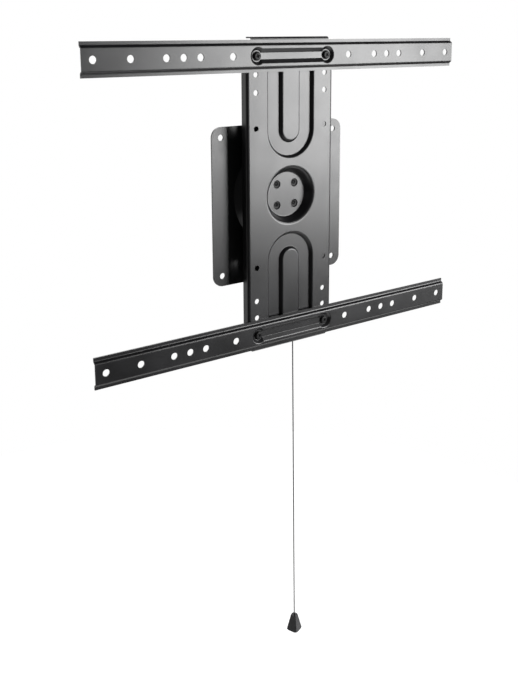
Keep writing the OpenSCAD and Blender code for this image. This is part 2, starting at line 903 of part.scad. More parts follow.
// A tied knot, drawn as a small barrel standing on z = 0
module knot() {
    rotate_extrude()
        polygon([[0, 0], [knot_r - knot_round, 0], [knot_r, knot_round], [knot_r, knot_h - knot_round],
            [knot_r - knot_round, knot_h], [0, knot_h]]);
}

module cord_knot() {
    color(cord_grey)
        translate(cord_top + [0, 0, seat_gap])
            knot();
}

// Cord: a straight hang from the latch bolt's lug to the knob
module pull_cord() {
    color(cord_grey)
        tube([for (i = [0:cord_rings - 1]) cord_top + (cord_end - cord_top) * i / (cord_rings - 1)],
            cord_r, cord_sides);
}

// Knob: a flared square bell whose corners are turned off, with a socket below for the knot
module cord_knob() {
    knot_seat = cord_end[2] - knob_top_z;
    top_r = knob_corner * knob_top_width;
    end_r = knob_corner * knob_end_width;
    side = [[cord_hole_r, 0], [top_r - knob_round, 0], [top_r, -knob_round],
        [end_r, knob_round - knob_height], [end_r - knob_round, -knob_height],
        [knob_socket_r, -knob_height], [knob_socket_r, knot_seat], [cord_hole_r, knot_seat]];
    color(coat_black)
        translate([cord_end[0], cord_end[1], knob_top_z])
            rotate([0, 0, knob_turn])
                intersection() {
                    rotate_extrude()
                        polygon(side);
                    translate([0, 0, -knob_height])
                        rotate([0, 0, 45])
                            cylinder(h = knob_height, r1 = knob_end_width / sqrt(2),
                                r2 = knob_top_width / sqrt(2), $fn = 4);
                }
}

module knob_knot() {
    color(cord_grey)
        translate(cord_end - [0, 0, seat_gap])
            mirror([0, 0, 1])
                knot();
}

wall_plate();
front_bearing_ring();
rear_bearing_ring();
stop_pin();
latch_guide();
for (side = SIDES) {
    guide_rivet(side);
    spring_post(side);
    latch_post(side);
    latch_spring(side);
}
rotor_plate();
hub();
top_rail();
bottom_rail();
for (i = FOUR) {
    hub_screw(i);
    rail_screw(i);
    rail_washer(i);
    rail_nut(i);
}
latch_bolt();
cord_knot();
pull_cord();
cord_knob();
knob_knot();
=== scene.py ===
"""Pivoting wall mount for a flat screen: finishes, pull cord, screws, springs, camera and studio.

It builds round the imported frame, in metres, with +Z up and the wall behind at y = 0.
"""

import math

import bmesh
import bpy
from mathutils import Matrix, Vector


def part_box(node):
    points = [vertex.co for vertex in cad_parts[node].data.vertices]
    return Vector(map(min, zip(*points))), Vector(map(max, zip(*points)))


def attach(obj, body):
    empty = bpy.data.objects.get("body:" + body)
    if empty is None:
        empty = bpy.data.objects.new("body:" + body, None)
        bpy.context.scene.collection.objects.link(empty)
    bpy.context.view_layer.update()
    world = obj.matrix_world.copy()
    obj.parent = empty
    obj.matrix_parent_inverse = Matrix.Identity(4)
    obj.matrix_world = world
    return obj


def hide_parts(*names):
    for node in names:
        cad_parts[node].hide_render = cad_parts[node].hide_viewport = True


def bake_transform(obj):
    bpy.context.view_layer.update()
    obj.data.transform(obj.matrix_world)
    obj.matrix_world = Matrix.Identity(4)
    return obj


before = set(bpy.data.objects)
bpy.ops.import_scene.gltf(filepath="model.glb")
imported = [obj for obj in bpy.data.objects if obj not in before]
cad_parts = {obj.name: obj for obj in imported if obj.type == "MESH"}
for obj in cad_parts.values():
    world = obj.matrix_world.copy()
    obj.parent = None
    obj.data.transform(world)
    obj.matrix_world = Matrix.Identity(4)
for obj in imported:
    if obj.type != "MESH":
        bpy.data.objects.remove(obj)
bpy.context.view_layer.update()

bl_info = {
    "name": "Pivoting wall mount",
    "version": (1, 0, 0),
    "blender": (4, 5, 0),
    "location": "3D View > Sidebar > Wall mount",
    "description": "Finishes, pull cord, screws, springs, camera and studio of a pivoting wall mount",
    "category": "Object",
}

MM = 0.001

# The photograph's height in pixels, and the camera that was fitted to the rail holes
PHOTO_HEIGHT = 673
SENSOR_MM = 36.0
FOCAL_PIXELS = 838.1
CAMERA_PLACE = (-0.7075, -0.9950, 0.2401)
CAMERA_YAW = 34.07
CAMERA_PITCH = 11.13
CAMERA_ROLL = 0.32
LEVEL_ROW = 200.0
NEAR_CLIP = 0.05
FAR_CLIP = 60.0

# The cord's route: the knot on the latch bolt's lug, and the knot in the knob
CORD_TOP = Vector((21.0, -5.5, -39.5)) * MM
CORD_END = Vector((21.0, -14.5, -702.0)) * MM
CORD_POINTS = 24
# Shares of the cord's radius
STRAND_SHARE = 0.3
SWING_SHARE = 0.12
KNOT_WIRE_SHARE = 0.85

# Overhand knots: half width and height of the path, and its steps, of which the last stay open
KNOT_WIDTH = 0.42 * MM
KNOT_HEIGHT = 0.62 * MM
KNOT_STEPS = 96
KNOT_POINTS = 91

# Rail screws: shank, and a pan head with a cross recess
SHANK_RADIUS = 3.0 * MM
SHANK_OVERLAP = 0.05 * MM
PAN_HEIGHT = 3.0 * MM
PAN_RADIUS = 5.8 * MM
PAN_CROWN = 0.35 * MM
PAN_RIM = 1.9 * MM
PAN_EDGE = 0.25 * MM
CROSS_ARM = 3.1 * MM
CROSS_HALF = 0.72 * MM
CROSS_CORNER = 1.15 * MM
CROSS_BEND = 0.2 * MM
CROSS_CLEAR = 0.4 * MM
CROSS_FLOOR = -0.9 * MM
CROSS_TAPER = 0.45

# Hub screws: a countersunk head with a dished top and a deep socket
HEAD_EDGE = 0.15 * MM
HEAD_OVERLAP = 0.1 * MM
DISH_RADIUS = 5.2 * MM
DISH_CLEAR = 0.3 * MM
DISH_DEPTH = 1.5 * MM
DISH_TAPER = 0.55
SOCKET_RADIUS = 2.3 * MM
SOCKET_CLEAR = 0.5 * MM
SOCKET_DEPTH = 2.9 * MM

# Springs: their two posts, and the wire's path round and between them
SPRING_X = 30.0 * MM
SPRING_Y = -4.95 * MM
SPRING_LOW = -40.0 * MM
SPRING_HIGH = -21.0 * MM
HOOK_RADIUS = 2.3 * MM
HOOK_NECK = 2.0 * MM
COIL_RADIUS = 2.3 * MM
HOOK_ARC = 290
HOOK_STEPS = 24
NECK_STEPS = 9
NECK_RISE = 0.9
COIL_STEPS = 24
WIRE_SIDES = 14

# Studio: a soft box on the right in front, a weaker one behind, a floor and a dim room
KEY_PLACE = (1.376, -1.659, 0.21)
KEY_TARGET = (-0.1, 0.0, 0.04)
KEY_SIZE = (1.1, 1.32)
FILL_PLACE = (0.9, 2.6, 1.5)
FILL_TARGET = (0.0, 0.0, 0.0)
FILL_SIZE = (1.6, 1.2)
FILL_POWER = 22.0
FLOOR_RADIUS = 1.5
FLOOR_SIDES = 96
FLOOR_MIDDLE = 0.35
FLOOR_GLOW = 0.62
ROOM_LEVEL = 0.16
ROOM_IN_GLOSS = 0.06

# Sides of what is turned, and the spread that a noise mostly gives
TURN_SIDES = 64
NOISE_SPREAD = (0.3, 0.7)


# Small tools

def linear(hex_colour):
    """An sRGB hex colour as linear red, green, blue and alpha."""
    parts = [int(hex_colour[i:i + 2], 16) / 255 for i in (1, 3, 5)]
    parts = [p / 12.92 if p <= 0.04045 else ((p + 0.055) / 1.055) ** 2.4 for p in parts]
    return (*parts, 1.0)


def add(tree, kind, values=None, **settings):
    """Add one node, with its properties as settings and its inputs as numbers or other nodes' outputs."""
    made = tree.nodes.new(kind)
    for name, value in settings.items():
        setattr(made, name, value)
    for key, value in (values or {}).items():
        if isinstance(value, bpy.types.NodeSocket):
            tree.links.new(value, made.inputs[key])
        else:
            made.inputs[key].default_value = value
    return made


def maths(tree, operation, *values):
    """The result of one operation on numbers or other nodes' outputs."""
    return add(tree, "ShaderNodeMath", dict(enumerate(values)), operation=operation).outputs[0]


def joined_vectors(tree, operation, first, second):
    """The result of one operation on two vectors."""
    return add(tree, "ShaderNodeVectorMath", {0: first, 1: second}, operation=operation).outputs[0]


def scaled_vector(tree, vector, size):
    """A vector times a number."""
    return add(tree, "ShaderNodeVectorMath", {0: vector, "Scale": size}, operation="SCALE").outputs[0]


def ranged(tree, value, span, to=(0.0, 1.0), kind="LINEAR"):
    """A value brought from one span to another, each (low, high)."""
    return add(tree, "ShaderNodeMapRange",
               {"Value": value, "From Min": span[0], "From Max": span[1], "To Min": to[0], "To Max": to[1]},
               interpolation_type=kind).outputs["Result"]


def new_tree(name, inputs):
    """An empty geometry node tree with named inputs, each (name, socket type, default)."""
    tree = bpy.data.node_groups.new(name, "GeometryNodeTree")
    tree.interface.new_socket(name="Geometry", in_out="INPUT", socket_type="NodeSocketGeometry")
    for label, kind, default in inputs:
        socket = tree.interface.new_socket(name=label, in_out="INPUT", socket_type=kind)
        if default is not None:
            socket.default_value = default
    tree.interface.new_socket(name="Geometry", in_out="OUTPUT", socket_type="NodeSocketGeometry")
    return tree, tree.nodes.new("NodeGroupInput").outputs


def close_tree(tree, geometry, material):
    """End a tree with real geometry in one material."""
    real = add(tree, "GeometryNodeRealizeInstances", {"Geometry": geometry})
    smooth = add(tree, "GeometryNodeSetShadeSmooth", {"Geometry": real.outputs[0]})
    painted = add(tree, "GeometryNodeSetMaterial", {"Geometry": smooth.outputs[0], "Material": material})
    add(tree, "NodeGroupOutput", {"Geometry": painted.outputs[0]})


def new_object(name, mesh):
    """A mesh object at the origin, linked into the scene."""
    made = bpy.data.objects.new(name, mesh)
    bpy.context.scene.collection.objects.link(made)
    return made


def plain_mesh(source, name):
    """What an object shows, with its modifiers run, as a new mesh."""
    bpy.context.view_layer.update()
    graph = bpy.context.evaluated_depsgraph_get()
    mesh = bpy.data.meshes.new_from_object(source.evaluated_get(graph), depsgraph=graph)
    mesh.name = name
    return mesh


def grow(name, base, tree, values):
    """Run a tree on a base mesh and keep the result as one plain mesh object."""
    seed = bpy.data.objects.new(name + "_seed", base)
    modifier = seed.modifiers.new(tree.name, "NODES")
    modifier.node_group = tree
    sockets = {item.name: item.identifier for item in tree.interface.items_tree
               if item.item_type == "SOCKET" and item.in_out == "INPUT"}
    for label, value in values.items():
        modifier[sockets[label]] = value
    bpy.context.scene.collection.objects.link(seed)
    made = new_object(name, plain_mesh(seed, name))
    bpy.data.objects.remove(seed)
    return made


def polylines(name, lines):
    """A mesh of open lines, each a list of points."""
    points, edges = [], []
    for line in lines:
        start = len(points)
        points.extend(line)
        edges.extend((start + i, start + i + 1) for i in range(len(line) - 1))
    mesh = bpy.data.meshes.new(name)
    mesh.from_pydata(points, edges, [])
    return mesh


def turned(name, profile):
    """A solid turned about Z from (radius, height) points that start and end on the axis."""
    made = bmesh.new()
    points = [made.verts.new((r, 0, z)) for r, z in profile]
    edges = [made.edges.new(pair) for pair in zip(points, points[1:])]
    bmesh.ops.spin(made, geom=points + edges, cent=(0, 0, 0), axis=(0, 0, 1), angle=2 * math.pi,
                   steps=TURN_SIDES, use_merge=True, use_duplicate=False)
    bmesh.ops.remove_doubles(made, verts=made.verts, dist=1e-6)
    bmesh.ops.recalc_face_normals(made, faces=made.faces)
    mesh = bpy.data.meshes.new(name)
    made.to_mesh(mesh)
    made.free()
    return mesh


def tapered(name, outline, z_mouth, z_floor, floor_share):
    """A closed cutter between an outline at its mouth and a smaller copy at its floor."""
    made = bmesh.new()
    rings = [[made.verts.new((x * share, y * share, z)) for x, y in outline]
             for z, share in ((z_mouth, 1.0), (z_floor, floor_share))]
    count = len(outline)
    for i in range(count):
        j = (i + 1) % count
        made.faces.new((rings[0][i], rings[0][j], rings[1][j], rings[1][i]))
    made.faces.new(rings[0][::-1])
    made.faces.new(rings[1])
    bmesh.ops.recalc_face_normals(made, faces=made.faces)
    mesh = bpy.data.meshes.new(name)
    made.to_mesh(mesh)
    made.free()
    return mesh


def carved(name, body, cutters):
    """A body with every cutter taken out of it, as one object."""
    made = new_object(name, body)
    tools = []
    for i, cutter in enumerate(cutters):
        tool = new_object(f"{name}_cutter_{i}", cutter)
        modifier = made.modifiers.new(f"recess {i}", "BOOLEAN")
        modifier.operation = "DIFFERENCE"
        modifier.solver = "EXACT"
        modifier.object = tool
        tools.append(tool)
    mesh = plain_mesh(made, name)
    for thing in [made, *tools]:
        bpy.data.objects.remove(thing)
    return new_object(name, mesh)


def middle(node):
    """Middle of a CAD node's box at rest."""
    low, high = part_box(node)
    return (low + high) / 2


# Finishes

def new_finish(name, **sockets):
    """A material with one surface shader, whose plain values are set on its own sockets."""
    material = bpy.data.materials.new(name)
    material.use_nodes = True
    tree = material.node_tree
    shader = tree.nodes["Principled BSDF"]
    for label, value in sockets.items():
        shader.inputs[label.replace("_", " ")].default_value = value
    place = add(tree, "ShaderNodeTexCoord").outputs["Object"]
    return material, tree, shader, place


def shade_between(tree, value, low, high):
    """Two hex colours mixed by a value from 0 to 1."""
    mix = add(tree, "ShaderNodeMix", {"Factor": value}, data_type="RGBA")
    mix.inputs["A"].default_value = linear(low)
    mix.inputs["B"].default_value = linear(high)
    return mix.outputs["Result"]


def noise(tree, place, size, detail):
    """A noise with waves of that size in metres."""
    return add(tree, "ShaderNodeTexNoise", {"Vector": place, "Scale": 1 / size, "Detail": detail}).outputs[0]


def mottled(tree, shader, value, colours, roughness):
    """Let a noise move the base colour between two hex colours and the roughness between two numbers."""
    tint = shade_between(tree, ranged(tree, value, NOISE_SPREAD), *colours)
    tree.links.new(tint, shader.inputs["Base Color"])
    tree.links.new(ranged(tree, value, NOISE_SPREAD, roughness), shader.inputs["Roughness"])


def bumped(tree, shader, height, distance, strength, under=None):
    """Give a shader a bump of that real depth, over another bump if there is one."""
    values = {"Height": height, "Distance": distance, "Strength": strength}
    if under is not None:
        values["Normal"] = under
    bump = add(tree, "ShaderNodeBump", values)
    tree.links.new(bump.outputs["Normal"], shader.inputs["Normal"])
    return bump.outputs["Normal"]


def powder_coat(name, colours, roughness):
    """Steel sheet with a baked polyester powder coat, satin black.

    The melted powder leaves a soft orange peel, so highlights are broad with a faint mottle.
    """
    material, tree, shader, place = new_finish(name, IOR=1.5, Metallic=0.0)
    mottled(tree, shader, noise(tree, place, 0.045, 3.0), colours, roughness)
    # Peel waves are about 1.6 mm across and a few thousandths of a millimetre deep
    waves = bumped(tree, shader, noise(tree, place, 0.0016, 2.0), 0.00002, 0.6)
    # Powder grains of 0.05 mm would not show, so they are drawn 0.5 mm across
    bumped(tree, shader, noise(tree, place, 0.0005, 1.0), 0.000006, 0.5, waves)
    return material


def zinc_plate():
    """Turned and stamped steel with bright zinc plating, which is bluish with a faint warm film."""
    material, tree, shader, place = new_finish("Zinc-plated steel", Metallic=1.0)
    mottled(tree, shader, noise(tree, place, 0.011, 2.0), ("#aeb3ba", "#c2bfb2"), (0.3, 0.42))
    # Plating crystals are finer than the eye sees, drawn as 0.4 mm spangle
    spangle = add(tree, "ShaderNodeTexVoronoi", {"Vector": place, "Scale": 1 / 0.0004}).outputs["Distance"]
    bumped(tree, shader, spangle, 0.000008, 0.4)
    return material


def black_oxide():
    """Hardened steel screws and washers with a black oxide finish, dull and nearly black."""
    material, tree, shader, place = new_finish("Black-oxide steel", Metallic=0.0, Specular_IOR_Level=0.2)
    stain = noise(tree, place, 0.003, 3.0)
    mottled(tree, shader, stain, ("#101011", "#1b1b1c"), (0.42, 0.52))
    bumped(tree, shader, stain, 0.00001, 0.4)
    return material


def spring_steel():
    """Drawn spring wire, bright, with fine marks of the die."""
    material, tree, shader, place = new_finish("Drawn spring steel", Metallic=1.0)
    mark = noise(tree, place, 0.0012, 2.0)
    mottled(tree, shader, mark, ("#8f9195", "#b4b5b7"), (0.24, 0.36))
    bumped(tree, shader, mark, 0.000006, 0.5)
    return material


def natural_nylon():
    """Stamped nylon sheet, uncoloured: milky, with light scattered just under its skin."""
    material, tree, shader, place = new_finish("Natural nylon", IOR=1.53, Metallic=0.0, Subsurface_Weight=0.25,
                                               Subsurface_Radius=(0.0012, 0.001, 0.0008))
    cloud = noise(tree, place, 0.006, 2.0)
    mottled(tree, shader, cloud, ("#cfcabb", "#dbd8cc"), (0.42, 0.55))
    bumped(tree, shader, cloud, 0.00003, 0.3)
    return material


def polyester_braid():
    """Dark polyester yarn: dull, with a soft sheen from loose fibres."""
    material, tree, shader, place = new_finish("Polyester braid", IOR=1.5, Metallic=0.0, Sheen_Weight=0.08,
                                               Sheen_Roughness=0.5)
    # Filaments are 0.02 mm thick, drawn 0.15 mm so that the yarn is not plastic smooth
    fibre = noise(tree, place, 0.00015, 2.0)
    mottled(tree, shader, fibre, ("#0f0f10", "#1d1d1f"), (0.75, 0.92))
    bumped(tree, shader, fibre, 0.00005, 0.6)
    return material


def moulded_plastic():
    """Moulded ABS with a fine spark-eroded skin, near black and satin."""
    material, tree, shader, place = new_finish("Moulded ABS", IOR=1.54, Metallic=0.0)
    mottled(tree, shader, noise(tree, place, 0.008, 2.0), ("#1b1b1d", "#242426"), (0.36, 0.44))
    # The eroded skin has pits of 0.1 mm, drawn 0.35 mm across
    bumped(tree, shader, noise(tree, place, 0.00035, 2.0), 0.00001, 0.5)
    return material


MAKERS = {
    "front coat": lambda: powder_coat("Powder-coated steel front", ("#121213", "#18181a"), (0.30, 0.35)),
    "wall coat": lambda: powder_coat("Powder-coated steel wall plate", ("#111112", "#171719"), (0.31, 0.36)),
    "latch coat": lambda: powder_coat("Powder-coated steel latch", ("#1d1d1f", "#262628"), (0.40, 0.48)),
    "zinc": zinc_plate,
    "screws": black_oxide,
    "springs": spring_steel,
    "nylon": natural_nylon,
    "braid": polyester_braid,
    "knob": moulded_plastic,
}
made_finishes = {}


def finish(key):
    """The material of that kind, made once."""
    if key not in made_finishes:
        made_finishes[key] = MAKERS[key]()
    return made_finishes[key]


CAD_FINISHES = {
    "front coat": ("rotor_plate", "top_rail", "bottom_rail"),
    "wall coat": ("wall_plate",),
    "latch coat": ("latch_bolt",),
    "zinc": ("hub", "stop_pin", "latch_guide", "guide_rivet", "spring_post", "latch_post", "rail_nut"),
    "screws": ("hub_screw", "rail_screw", "rail_washer"),
    "springs": ("latch_spring",),
    "nylon": ("front_bearing_ring", "rear_bearing_ring"),
    "braid": ("pull_cord", "cord_knot", "knob_knot"),
    "knob": ("cord_knob",),
}


# Node trees

def braid_tree():
    """Strands that wind both ways round a path, over and under each other, with a core inside."""
    tree, given = new_tree("Braid along a path", [
        ("Cord radius", "NodeSocketFloat", 0.001),
        ("Strand radius", "NodeSocketFloat", 0.0003),
        ("Pitch", "NodeSocketFloat", 0.006),
        ("Strands each way", "NodeSocketInt", 4),
        ("Steps a turn", "NodeSocketInt", 10),
        ("Strand sides", "NodeSocketInt", 5),
        ("Material", "NodeSocketMaterial", None),
    ])
    step = maths(tree, "DIVIDE", given["Pitch"], given["Steps a turn"])
    path = add(tree, "GeometryNodeMeshToCurve", {"Mesh": given["Geometry"]}).outputs[0]
    fine = add(tree, "GeometryNodeResampleCurve", {"Curve": path, "Length": step}, mode="LENGTH").outputs[0]
    along = add(tree, "GeometryNodeSplineParameter").outputs["Length"]
    turns = maths(tree, "DIVIDE", along, given["Pitch"])
    crossings = maths(tree, "MULTIPLY", turns, given["Strands each way"])
    swing = maths(tree, "COSINE", maths(tree, "MULTIPLY", crossings, 2 * math.pi))
    # A strand's middle line swings in and out about a mean that leaves room for the strand
    depth = maths(tree, "MULTIPLY", given["Cord radius"], SWING_SHARE)
    reach = maths(tree, "MULTIPLY", given["Cord radius"], 1 - SWING_SHARE)
    mean = maths(tree, "SUBTRACT", reach, given["Strand radius"])
    normal = add(tree, "GeometryNodeInputNormal").outputs[0]
    tangent = add(tree, "GeometryNodeInputTangent").outputs[0]
    side = joined_vectors(tree, "CROSS_PRODUCT", tangent, normal)
    tubes = []
    for hand in (1.0, -1.0):
        many = add(tree, "GeometryNodeDuplicateElements",
                   {"Geometry": fine, "Amount": given["Strands each way"]}, domain="SPLINE")
        share = maths(tree, "DIVIDE", many.outputs["Duplicate Index"], given["Strands each way"])
        wound = maths(tree, "MULTIPLY_ADD", turns, hand, share)
        angle = maths(tree, "MULTIPLY", wound, 2 * math.pi)
        lift = maths(tree, "MULTIPLY", swing, hand)
        radius = maths(tree, "MULTIPLY_ADD", lift, depth, mean)
        out = scaled_vector(tree, normal, maths(tree, "COSINE", angle))
        over = scaled_vector(tree, side, maths(tree, "SINE", angle))
        offset = scaled_vector(tree, joined_vectors(tree, "ADD", out, over), radius)
        wavy = add(tree, "GeometryNodeSetPosition", {"Geometry": many.outputs[0], "Offset": offset}).outputs[0]
        ring = add(tree, "GeometryNodeCurvePrimitiveCircle",
                   {"Resolution": given["Strand sides"], "Radius": given["Strand radius"]}).outputs[0]
        tubes.append(add(tree, "GeometryNodeCurveToMesh",
                         {"Curve": wavy, "Profile Curve": ring, "Fill Caps": True}).outputs[0])
        core_ring = add(tree, "GeometryNodeCurvePrimitiveCircle", {"Resolution": 8, "Radius": mean}).outputs[0]
    tubes.append(add(tree, "GeometryNodeCurveToMesh",
                     {"Curve": path, "Profile Curve": core_ring, "Fill Caps": True}).outputs[0])
    joined = add(tree, "GeometryNodeJoinGeometry")
    for tube in tubes:
        tree.links.new(tube, joined.inputs[0])
    close_tree(tree, joined.outputs[0], given["Material"])
    return tree


def wire_tree():
    """A round wire along every line of a mesh."""
    tree, given = new_tree("Wire along lines", [
        ("Wire radius", "NodeSocketFloat", 0.0005),
        ("Sides", "NodeSocketInt", WIRE_SIDES),
        ("Material", "NodeSocketMaterial", None),
    ])
    path = add(tree, "GeometryNodeMeshToCurve", {"Mesh": given["Geometry"]}).outputs[0]
    ring = add(tree, "GeometryNodeCurvePrimitiveCircle",
               {"Resolution": given["Sides"], "Radius": given["Wire radius"]}).outputs[0]
    wire = add(tree, "GeometryNodeCurveToMesh", {"Curve": path, "Profile Curve": ring, "Fill Caps": True})
    close_tree(tree, wire.outputs[0], given["Material"])
    return tree


def screw_tree():
    """A screw at every point: a head and a threaded shank along +Y, each turned by chance."""
    tree, given = new_tree("Screws at points", [
        ("Head", "NodeSocketObject", None),
        ("Thread radius", "NodeSocketFloat", 0.003),
        ("Thread depth", "NodeSocketFloat", 0.0005),
        ("Pitch", "NodeSocketFloat", 0.001),
        ("Shank start", "NodeSocketFloat", 0.0),
        ("Shank length", "NodeSocketFloat", 0.011),
        ("Steps a turn", "NodeSocketInt", 8),
        ("Sides", "NodeSocketInt", 32),
        ("Seed", "NodeSocketInt", 3),
        ("Material", "NodeSocketMaterial", None),
    ])
    turns = maths(tree, "DIVIDE", given["Shank length"], given["Pitch"])
    rows = maths(tree, "MULTIPLY", turns, given["Steps a turn"])
    bar = add(tree, "GeometryNodeMeshCylinder",
              {"Vertices": given["Sides"], "Side Segments": rows, "Radius": given["Thread radius"],
               "Depth": given["Shank length"]})
    place = add(tree, "GeometryNodeInputPosition").outputs[0]
    split = add(tree, "ShaderNodeSeparateXYZ", {0: place})
    angle = maths(tree, "ARCTAN2", split.outputs["Y"], split.outputs["X"])
    climb = maths(tree, "DIVIDE", split.outputs["Z"], given["Pitch"])
    # How far a point is up its turn of the thread, and so how deep the groove is there
    phase = maths(tree, "MULTIPLY_ADD", angle, -1 / (2 * math.pi), climb)
    groove = maths(tree, "PINGPONG", phase, 0.5)
    cut = maths(tree, "MULTIPLY", groove, given["Thread depth"])
    share = maths(tree, "DIVIDE", cut, given["Thread radius"])
    keep = maths(tree, "MULTIPLY_ADD", share, -2.0, 1.0)
    narrow = add(tree, "ShaderNodeCombineXYZ", {0: keep, 1: keep, 2: 1.0}).outputs[0]
    moved = joined_vectors(tree, "MULTIPLY", place, narrow)
    thread = add(tree, "GeometryNodeSetPosition",
                 {"Geometry": bar.outputs["Mesh"], "Position": moved}).outputs[0]
    half = maths(tree, "MULTIPLY_ADD", given["Shank length"], 0.5, given["Shank start"])
    shift = add(tree, "ShaderNodeCombineXYZ", {2: half}).outputs[0]
    shank = add(tree, "GeometryNodeTransform", {"Geometry": thread, "Translation": shift}).outputs[0]
    head = add(tree, "GeometryNodeObjectInfo", {"Object": given["Head"]}).outputs["Geometry"]
    joined = add(tree, "GeometryNodeJoinGeometry")
    tree.links.new(shank, joined.inputs[0])
    tree.links.new(head, joined.inputs[0])
    laid = add(tree, "GeometryNodeTransform", {"Geometry": joined.outputs[0],
                                               "Rotation": (-math.pi / 2, 0.0, 0.0)}).outputs[0]
    chance = add(tree, "FunctionNodeRandomValue", {"Seed": given["Seed"]}, data_type="FLOAT")
    chance.inputs[3].default_value = math.pi
    turn = add(tree, "ShaderNodeCombineXYZ", {1: chance.outputs[1]}).outputs[0]
    many = add(tree, "GeometryNodeInstanceOnPoints", {"Points": given["Geometry"], "Instance": laid,
                                                      "Rotation": turn}).outputs[0]
    close_tree(tree, many, given["Material"])
    return tree


# Settings, operators and panel

class WallMountSettings(bpy.types.PropertyGroup):
    """Sizes that a user may change before the pieces are made."""

    cord_diameter: bpy.props.FloatProperty(
        name="Cord diameter", description="Diameter of the braided pull cord", default=0.002, min=0.0015,
        max=0.0022, unit="LENGTH")
    braid_pitch: bpy.props.FloatProperty(
        name="Braid pitch", description="Length of one turn of a strand round the cord", default=0.006,
        min=0.004, max=0.012, unit="LENGTH")
    braid_strands: bpy.props.IntProperty(
        name="Strands each way", description="Strands that wind each way round the cord", default=5, min=3,
        max=6)
    thread_pitch: bpy.props.FloatProperty(
        name="Thread pitch", description="Distance between two turns of the screws' threads", default=0.001,
        min=0.0007, max=0.0015, unit="LENGTH")
    thread_depth: bpy.props.FloatProperty(
        name="Thread depth", description="Depth of the screws' threads", default=0.00045, min=0.0002,
        max=0.0006, unit="LENGTH")
    spring_wire: bpy.props.FloatProperty(
        name="Spring wire", description="Diameter of the springs' wire", default=0.001, min=0.0006,
        max=0.0012, unit="LENGTH")
    spring_turns: bpy.props.IntProperty(
        name="Spring turns", description="Turns of each spring's coil", default=5, min=3, max=5)
    key_light: bpy.props.FloatProperty(
        name="Key light", description="Power of the large soft box on the right", default=74.0, min=0.0,
        unit="POWER")
    floor_drop: bpy.props.FloatProperty(
        name="Floor drop", description="Height of the mount's middle above the floor", default=1.25,
        min=0.8, max=2.5, unit="LENGTH")


class WALLMOUNT_OT_camera(bpy.types.Operator):
    """Place the camera where the photograph was taken from"""

    bl_idname = "wall_mount.camera"
    bl_label = "Camera"

    def execute(self, context):
        yaw, pitch, roll = (math.radians(a) for a in (CAMERA_YAW, CAMERA_PITCH, CAMERA_ROLL))
        ahead = Vector((math.sin(yaw) * math.cos(pitch), math.cos(yaw) * math.cos(pitch), -math.sin(pitch)))
        right = Vector((math.cos(yaw), -math.sin(yaw), 0.0))
        down = ahead.cross(right)
        turned_right = math.cos(roll) * right + math.sin(roll) * down
        turned_down = math.cos(roll) * down - math.sin(roll) * right
        lens = bpy.data.cameras.new("Camera")
        lens.sensor_width = SENSOR_MM
        lens.lens = FOCAL_PIXELS * SENSOR_MM / PHOTO_HEIGHT
        lens.shift_y = -(PHOTO_HEIGHT / 2 - LEVEL_ROW) / PHOTO_HEIGHT
        lens.clip_start = NEAR_CLIP
        lens.clip_end = FAR_CLIP
        camera = bpy.data.objects.new("Camera", lens)
        context.scene.collection.objects.link(camera)
        turn = Matrix((turned_right, -turned_down, -ahead)).transposed().to_4x4()
        camera.matrix_world = Matrix.Translation(CAMERA_PLACE) @ turn
        context.scene.camera = camera
        return {"FINISHED"}


class WALLMOUNT_OT_cord(bpy.types.Operator):
    """Braid the pull cord from the latch bolt down to its knob, with a knot at each end"""

    bl_idname = "wall_mount.cord"
    bl_label = "Pull cord"

    def execute(self, context):
        settings = context.scene.wall_mount
        route = [CORD_TOP.lerp(CORD_END, i / (CORD_POINTS - 1)) for i in range(CORD_POINTS)]
        braid = finish("braid")
        radius = settings.cord_diameter / 2
        cord = grow("pull_cord_braid", polylines("cord_route", [route]), braid_tree(), {
            "Cord radius": radius, "Strand radius": radius * STRAND_SHARE, "Pitch": settings.braid_pitch,
            "Strands each way": settings.braid_strands, "Material": braid})
        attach(cord, "latch")
        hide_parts("pull_cord")
        for node in ("cord_knot", "knob_knot"):
            knot = grow(node + "_tied", polylines(node, [self.knot_line(middle(node))]), wire_tree(), {
                "Wire radius": radius * KNOT_WIRE_SHARE, "Sides": 12, "Material": braid})
            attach(knot, "latch")
            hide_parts(node)
        return {"FINISHED"}

    @staticmethod
    def knot_line(centre):
        """The path of an overhand knot pulled tight, about its middle."""
        line = []
        for i in range(KNOT_POINTS):
            t = 2 * math.pi * i / KNOT_STEPS
            x = KNOT_WIDTH * (math.sin(t) + 2 * math.sin(2 * t))
            y = KNOT_WIDTH * (math.cos(t) - 2 * math.cos(2 * t))
            line.append(centre + Vector((x, y, -KNOT_HEIGHT * math.sin(3 * t))))
        return line


